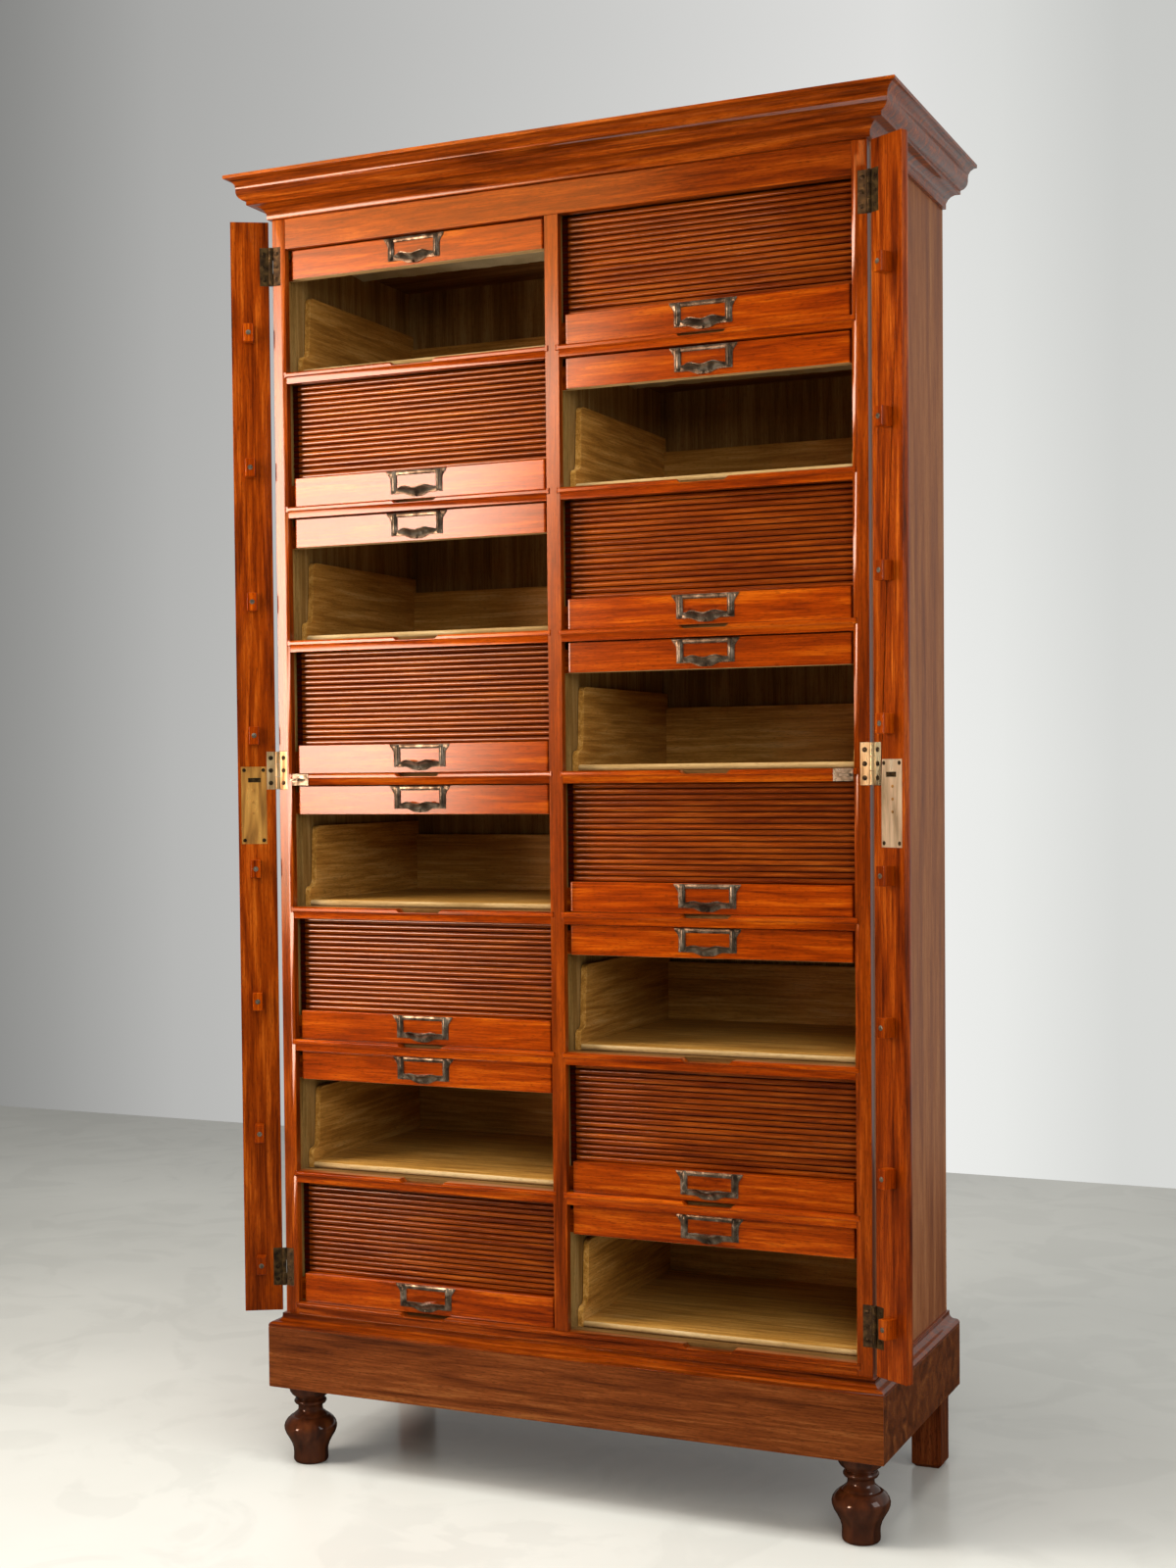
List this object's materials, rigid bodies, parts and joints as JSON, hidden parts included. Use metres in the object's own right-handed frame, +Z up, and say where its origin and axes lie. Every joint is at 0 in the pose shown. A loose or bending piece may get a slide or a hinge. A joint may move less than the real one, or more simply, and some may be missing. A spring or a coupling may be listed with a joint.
{
  "type": "tambour filing cabinet",
  "caption": "Free-standing wooden filing cabinet with roll-up tambour shutters over pull-out trays, hinged locking flaps at both sides, a moulded cornice and turned front feet.",
  "frame": {"origin": "on the floor, under the centre of the overall box", "axes": "+Z up, -Y towards the front, +X to the right as seen from the front"},
  "size_m": [0.9264, 0.3978, 1.728],
  "materials": {
    "mahogany": "french polished",
    "dark_mahogany": "dark gloss",
    "tambour": "polished slats",
    "oak": "waxed",
    "pale_wood": "unpolished",
    "rough_wood": "sawn",
    "brass": "worn",
    "bronze": "dark patina",
    "canvas": "woven"
  },
  "bodies": {
    "carcass": {"side_panels": "mahogany", "stiles": "mahogany", "divider_rails": "mahogany", "base_rail": "mahogany", "frieze_rail": "mahogany", "cornice": "mahogany", "plinth": "mahogany", "plinth_moulding": "mahogany", "front_feet": "dark_mahogany", "rear_feet": "rough_wood", "centre_partition": "pale_wood", "back_boards": "pale_wood", "top_and_bottom": "pale_wood", "shelves": "pale_wood", "track_linings": "pale_wood", "hinge_leaves": "brass", "lock_keeps": "brass", "stored_curtains": "tambour", "shut_trays": "oak", "curtain_left_2": "tambour", "curtain_left_4": "tambour", "curtain_left_6": "tambour", "curtain_left_8": "tambour", "curtain_right_1": "tambour", "curtain_right_3": "tambour", "curtain_right_5": "tambour", "curtain_right_7": "tambour"},
    "left_flap": {"flap_left": "mahogany", "flap_lugs_left": "mahogany", "flap_leaves_left": "brass", "lock_left": "brass"},
    "right_flap": {"flap_right": "mahogany", "flap_lugs_right": "mahogany", "flap_leaves_right": "brass", "lock_right": "brass"},
    "shutter_left_1": {"lead_bar_left_1": "mahogany"},
    "tray_left_1": {"tray_left_1": "oak"},
    "shutter_left_2": {"lead_bar_left_2": "mahogany"},
    "shutter_left_3": {"lead_bar_left_3": "mahogany"},
    "tray_left_3": {"tray_left_3": "oak"},
    "shutter_left_4": {"lead_bar_left_4": "mahogany"},
    "shutter_left_5": {"lead_bar_left_5": "mahogany"},
    "tray_left_5": {"tray_left_5": "oak"},
    "shutter_left_6": {"lead_bar_left_6": "mahogany"},
    "shutter_left_7": {"lead_bar_left_7": "mahogany"},
    "tray_left_7": {"tray_left_7": "oak"},
    "shutter_left_8": {"lead_bar_left_8": "mahogany"},
    "shutter_right_1": {"lead_bar_right_1": "mahogany"},
    "shutter_right_2": {"lead_bar_right_2": "mahogany"},
    "tray_right_2": {"tray_right_2": "oak"},
    "shutter_right_3": {"lead_bar_right_3": "mahogany"},
    "shutter_right_4": {"lead_bar_right_4": "mahogany"},
    "tray_right_4": {"tray_right_4": "oak"},
    "shutter_right_5": {"lead_bar_right_5": "mahogany"},
    "shutter_right_6": {"lead_bar_right_6": "mahogany"},
    "tray_right_6": {"tray_right_6": "oak"},
    "shutter_right_7": {"lead_bar_right_7": "mahogany"},
    "shutter_right_8": {"lead_bar_right_8": "mahogany"},
    "tray_right_8": {"tray_right_8": "oak"}
  },
  "joints": [
    {"name": "left_flap_hinge", "type": "hinge", "parent": "carcass", "child": "left_flap", "pos_m": [-0.4125, -0.1529, 0.94025], "axis": [0, 0, -1], "range_deg": [-150, 30]},
    {"name": "right_flap_hinge", "type": "hinge", "parent": "carcass", "child": "right_flap", "pos_m": [0.4125, -0.1529, 0.94025], "axis": [0, 0, 1], "range_deg": [-150, 30]},
    {"name": "shutter_left_1_slide", "type": "slide", "parent": "carcass", "child": "shutter_left_1", "axis": [0, 0, 1], "range_m": [-0.1237, 0]},
    {"name": "tray_left_1_slide", "type": "slide", "parent": "carcass", "child": "tray_left_1", "axis": [0, -1, 0], "range_m": [0, 0.24]},
    {"name": "shutter_left_2_slide", "type": "slide", "parent": "carcass", "child": "shutter_left_2", "axis": [0, 0, 1], "range_m": [0, 0.1237], "deforming": ["curtain_left_2"]},
    {"name": "shutter_left_3_slide", "type": "slide", "parent": "carcass", "child": "shutter_left_3", "axis": [0, 0, 1], "range_m": [-0.1237, 0]},
    {"name": "tray_left_3_slide", "type": "slide", "parent": "carcass", "child": "tray_left_3", "axis": [0, -1, 0], "range_m": [0, 0.24]},
    {"name": "shutter_left_4_slide", "type": "slide", "parent": "carcass", "child": "shutter_left_4", "axis": [0, 0, 1], "range_m": [0, 0.1237], "deforming": ["curtain_left_4"]},
    {"name": "shutter_left_5_slide", "type": "slide", "parent": "carcass", "child": "shutter_left_5", "axis": [0, 0, 1], "range_m": [-0.1237, 0]},
    {"name": "tray_left_5_slide", "type": "slide", "parent": "carcass", "child": "tray_left_5", "axis": [0, -1, 0], "range_m": [0, 0.24]},
    {"name": "shutter_left_6_slide", "type": "slide", "parent": "carcass", "child": "shutter_left_6", "axis": [0, 0, 1], "range_m": [0, 0.1237], "deforming": ["curtain_left_6"]},
    {"name": "shutter_left_7_slide", "type": "slide", "parent": "carcass", "child": "shutter_left_7", "axis": [0, 0, 1], "range_m": [-0.1237, 0]},
    {"name": "tray_left_7_slide", "type": "slide", "parent": "carcass", "child": "tray_left_7", "axis": [0, -1, 0], "range_m": [0, 0.24]},
    {"name": "shutter_left_8_slide", "type": "slide", "parent": "carcass", "child": "shutter_left_8", "axis": [0, 0, 1], "range_m": [0, 0.1237], "deforming": ["curtain_left_8"]},
    {"name": "shutter_right_1_slide", "type": "slide", "parent": "carcass", "child": "shutter_right_1", "axis": [0, 0, 1], "range_m": [0, 0.1237], "deforming": ["curtain_right_1"]},
    {"name": "shutter_right_2_slide", "type": "slide", "parent": "carcass", "child": "shutter_right_2", "axis": [0, 0, 1], "range_m": [-0.1237, 0]},
    {"name": "tray_right_2_slide", "type": "slide", "parent": "carcass", "child": "tray_right_2", "axis": [0, -1, 0], "range_m": [0, 0.24]},
    {"name": "shutter_right_3_slide", "type": "slide", "parent": "carcass", "child": "shutter_right_3", "axis": [0, 0, 1], "range_m": [0, 0.1237], "deforming": ["curtain_right_3"]},
    {"name": "shutter_right_4_slide", "type": "slide", "parent": "carcass", "child": "shutter_right_4", "axis": [0, 0, 1], "range_m": [-0.1237, 0]},
    {"name": "tray_right_4_slide", "type": "slide", "parent": "carcass", "child": "tray_right_4", "axis": [0, -1, 0], "range_m": [0, 0.24]},
    {"name": "shutter_right_5_slide", "type": "slide", "parent": "carcass", "child": "shutter_right_5", "axis": [0, 0, 1], "range_m": [0, 0.1237], "deforming": ["curtain_right_5"]},
    {"name": "shutter_right_6_slide", "type": "slide", "parent": "carcass", "child": "shutter_right_6", "axis": [0, 0, 1], "range_m": [-0.1237, 0]},
    {"name": "tray_right_6_slide", "type": "slide", "parent": "carcass", "child": "tray_right_6", "axis": [0, -1, 0], "range_m": [0, 0.24]},
    {"name": "shutter_right_7_slide", "type": "slide", "parent": "carcass", "child": "shutter_right_7", "axis": [0, 0, 1], "range_m": [0, 0.1237], "deforming": ["curtain_right_7"]},
    {"name": "shutter_right_8_slide", "type": "slide", "parent": "carcass", "child": "shutter_right_8", "axis": [0, 0, 1], "range_m": [-0.1237, 0]},
    {"name": "tray_right_8_slide", "type": "slide", "parent": "carcass", "child": "tray_right_8", "axis": [0, -1, 0], "range_m": [0, 0.24]}
  ]
}
